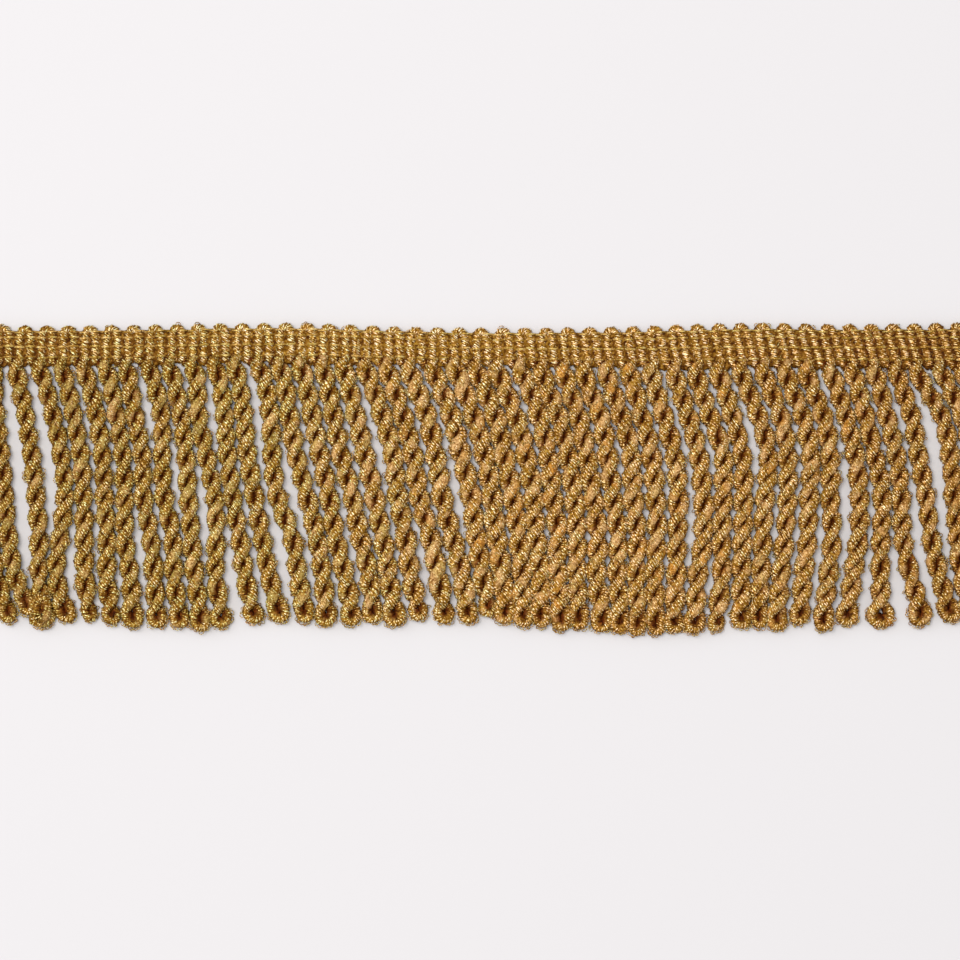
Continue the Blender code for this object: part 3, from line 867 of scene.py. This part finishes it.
class Nodes:
    """A material's nodes."""

    def __init__(self, name):
        self.material = bpy.data.materials.new(name)
        self.material.use_nodes = True
        self.tree = self.material.node_tree
        self.shader = self.tree.nodes["Principled BSDF"]

    def add(self, kind, **settings):
        node = self.tree.nodes.new(kind)
        for key, value in settings.items():
            setattr(node, key, value)
        return node

    def link(self, out, into):
        self.tree.links.new(out, into)

    def ramp(self, factor, *stops):
        node = self.add("ShaderNodeValToRGB")
        elements = node.color_ramp.elements
        while len(elements) < len(stops):
            elements.new(0.5)
        for element, (place, colour) in zip(elements, stops):
            element.position = place
            element.color = colour
        self.link(factor, node.inputs["Fac"])
        return node.outputs["Color"]

    def feed(self, value, socket):
        if isinstance(value, (float, tuple)):
            socket.default_value = value
        else:
            self.link(value, socket)

    def mix(self, factor, first, second, blend="MIX"):
        node = self.add("ShaderNodeMix", data_type="RGBA", blend_type=blend)
        for value, place in ((factor, 0), (first, 6), (second, 7)):
            self.feed(value, node.inputs[place])
        return node.outputs[2]

    def math(self, operation, *values):
        node = self.add("ShaderNodeMath", operation=operation)
        for value, socket in zip(values, node.inputs):
            self.feed(value, socket)
        return node.outputs[0]

    def noise(self, scale, detail, coords):
        node = self.add("ShaderNodeTexNoise")
        node.inputs["Scale"].default_value = scale
        node.inputs["Detail"].default_value = detail
        self.link(coords, node.inputs["Vector"])
        return node.outputs["Fac"]

    def yarn(self):
        node = self.add("ShaderNodeAttribute", attribute_name="yarn")
        parts = self.add("ShaderNodeSeparateColor")
        self.link(node.outputs["Color"], parts.inputs["Color"])
        return parts.outputs["Red"], parts.outputs["Green"], parts.outputs["Blue"]

    def coords(self):
        return self.add("ShaderNodeTexCoord").outputs["Object"]

    def bump(self, height, strength, distance):
        node = self.add("ShaderNodeBump")
        node.inputs["Strength"].default_value = strength
        node.inputs["Distance"].default_value = distance
        self.link(height, node.inputs["Height"])
        self.link(node.outputs["Normal"], self.shader.inputs["Normal"])


def core_material():
    nodes = Nodes("soft_core")
    coords = nodes.coords()
    patch, hue, painted_light = nodes.yarn()
    soft = nodes.ramp(
        hue,
        (0.10, display(168, 146, 76)),
        (0.35, display(200, 170, 104)),
        (0.65, display(214, 174, 122)),
        (0.86, display(208, 160, 92)),
        (0.95, display(206, 148, 66)),
    )
    # The core's own brown between the threads, kept dark partly as painted shade of the recesses there;
    # the ground takes it too
    deep = nodes.ramp(
        nodes.noise(scale=1500.0, detail=2.0, coords=coords),
        (0.35, display(84, 48, 4)),
        (0.52, display(134, 94, 18)),
        (0.70, display(188, 148, 66)),
    )
    # Painted shade: yarn with little painted light turns towards this brown
    shade = nodes.ramp(painted_light, (0.0, display(140, 88, 40)), (1.0, display(255, 255, 255)))
    fibres = nodes.ramp(
        nodes.noise(scale=2200.0, detail=2.0, coords=coords),
        (0.38, display(168, 146, 112)),
        (0.60, display(255, 255, 255)),
    )
    soft = nodes.mix(1.0, soft, fibres, "MULTIPLY")
    yarn = nodes.mix(1.0, nodes.mix(patch, deep, soft), shade, "MULTIPLY")
    nodes.link(yarn, nodes.shader.inputs["Base Color"])
    nodes.shader.inputs["Roughness"].default_value = 0.75
    nodes.shader.inputs["Specular IOR Level"].default_value = 0.08
    roughness = nodes.noise(scale=5200.0, detail=2.0, coords=coords)
    nodes.bump(roughness, strength=0.5, distance=0.00012)
    return nodes.material


def thread_material():
    nodes = Nodes("metallic_thread")
    coords = nodes.coords()
    tone, hue, bead = nodes.yarn()
    # Painted glints: the thread's light rises and falls along it and sparkles at random
    uneven = nodes.noise(scale=1500.0, detail=1.0, coords=coords)
    uneven = nodes.math("MULTIPLY_ADD", uneven, BEAD_WANDERS, -BEAD_WANDERS / 2)
    wave = nodes.math("SINE", nodes.math("MULTIPLY", nodes.math("ADD", bead, uneven), math.tau))
    painted_glint_rise = nodes.math("MULTIPLY_ADD", wave, BEAD_SWELLS, BEAD_LEVEL)
    spark = nodes.math("MULTIPLY", nodes.noise(scale=1900.0, detail=1.0, coords=coords), SPARKS)
    glint = nodes.math("MULTIPLY", nodes.math("MULTIPLY", tone, painted_glint_rise), spark)
    # The thread's gold, up to near white at the painted highlights
    gold = nodes.ramp(
        glint,
        (0.02, display(94, 52, 2)),
        (0.14, display(146, 104, 22)),
        (0.34, display(210, 174, 108)),
        (0.60, display(246, 226, 178)),
        (1.00, display(255, 250, 232)),
    )
    tint = nodes.ramp(
        hue,
        (0.15, display(238, 249, 214)),
        (0.5, display(253, 250, 236)),
        (0.85, display(255, 233, 216)),
    )
    coloured = nodes.mix(1.0, gold, tint, "MULTIPLY")
    nodes.link(coloured, nodes.shader.inputs["Base Color"])
    nodes.shader.inputs["Metallic"].default_value = 0.35
    nodes.shader.inputs["Roughness"].default_value = 0.32
    nodes.shader.inputs["Specular Tint"].default_value = display(255, 226, 170)
    roughness = nodes.noise(scale=4000.0, detail=2.0, coords=coords)
    nodes.bump(nodes.math("ADD", wave, roughness), strength=0.5, distance=0.0001)
    return nodes.material


# Build

rng = np.random.default_rng(seed=7)
materials = [core_material(), thread_material()]

gimp = Skein()
for number in range(SCALLOPS):
    path = rib_path(number)
    swell = rib_swell(path)
    wide = RIB_WIDE * (1 - RIB_WIDE_VARIES + RIB_WIDE_VARIES * swell)
    add_cord(gimp, path, rng, wide, RIB_HIGH * swell, RIB_WRAPS)
    add_fuzz(gimp, path, wide, rng, RIB_FUZZ)
for binding in BINDINGS:
    for phase in (0, 1):
        add_binding(gimp, binding, phase, rng)
ground = ground_band(rng).made("heading_ground", materials)
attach(ground, "root")
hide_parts("heading")
heading = gimp.made("heading_cord", materials)
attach(heading, "root")
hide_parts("heading")

for number, (line, strand) in enumerate(zip(strand_lines(), STRANDS)):
    skein = Skein()
    foot = float(foot_at(notch_at(number + 1)))
    lift = CROSSING_LIFT if number == CROSSING else 0.0
    path, heart, thin, broad = strand_path(line, strand, foot, lift, rng)
    add_cord(skein, path, rng, thin, broad, STRAND_WRAPS, heart=heart)
    add_fuzz(skein, path, thin, rng, STRAND_FUZZ, heart)
    lowest = path[np.argmin(path[:, 1]), :2]
    end = np.linalg.norm(path[:, :2] - lowest, axis=1) < LOOP_FUZZ_NEAR
    add_fuzz(skein, path[end], thin[end], rng, LOOP_FUZZ, heart[end])
    if number == COILED:
        turn, middle = coil(path)
        size = np.full(len(turn), COIL_CORD)
        add_cord(skein, turn, rng, size, size, STRAND_WRAPS, heart=middle, lit=COIL_LIT)
    obj = skein.made(f"strand_{number + 1:02d}", materials)
    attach(obj, "root")
    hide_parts("fringe")

# Stage

FLOOR_HALF = 3
PIXEL = 0.25
PHOTO_WIDE = 960
NOTCH_PIXEL = (470, 363)  # the middle notch's place along the photograph, and the heading's foot
CAMERA_UP = 1.2
SENSOR = 36

corners = [(-1, -1), (1, -1), (1, 1), (-1, 1)]
floor_mesh = bpy.data.meshes.new("floor")
floor_mesh.from_pydata([(FLOOR_HALF * x, FLOOR_HALF * y, 0) for x, y in corners], [], [(0, 1, 2, 3)])
floor = bpy.data.objects.new("floor", floor_mesh)
bpy.context.scene.collection.objects.link(floor)
floor_nodes = Nodes("pale_floor")
floor_nodes.shader.inputs["Base Color"].default_value = (0.627, 0.629, 0.6825, 1)
floor_nodes.shader.inputs["Roughness"].default_value = 0.9
floor_nodes.shader.inputs["Specular IOR Level"].default_value = 0.1
floor_mesh.materials.append(floor_nodes.material)


def area_light(name, place, size, power, colour):
    """A square light that faces the trim's middle."""
    data = bpy.data.lights.new(name, "AREA")
    data.size = size
    data.energy = power
    data.color = colour
    obj = bpy.data.objects.new(name, data)
    obj.location = place
    obj.rotation_mode = "QUATERNION"
    obj.rotation_quaternion = (-Vector(place)).to_track_quat("-Z", "Y")
    obj.visible_camera = False
    bpy.context.scene.collection.objects.link(obj)


area_light("key", place=(-0.38, 0.22, 2.05), size=1.0, power=36.8, colour=(1.0, 0.95, 0.86))
area_light("side", place=(-1.5, 0.55, 1.15), size=1.4, power=8.6, colour=(1.0, 1.0, 1.0))

world = bpy.data.worlds.new("studio")
world.use_nodes = True
world.node_tree.nodes["Background"].inputs["Color"].default_value = (1.0, 0.985, 0.94, 1)
world.node_tree.nodes["Background"].inputs["Strength"].default_value = 0.55
bpy.context.scene.world = world
bpy.context.scene.view_settings.view_transform = "Standard"

middle_x = PIXEL * (PHOTO_WIDE / 2 - NOTCH_PIXEL[0]) + SHIFT_X
middle_y = PIXEL * (NOTCH_PIXEL[1] - PHOTO_WIDE / 2) + SHIFT_Y
camera_data = bpy.data.cameras.new("camera")
camera_data.sensor_width = SENSOR
camera_data.lens = SENSOR * (CAMERA_UP - STRAND_MID * MM) / (PHOTO_WIDE * PIXEL * MM)
camera_data.clip_start = 0.01
camera_data.clip_end = 20
camera = bpy.data.objects.new("camera", camera_data)
camera.location = (middle_x * MM, middle_y * MM, CAMERA_UP)
bpy.context.scene.collection.objects.link(camera)
bpy.context.scene.camera = camera
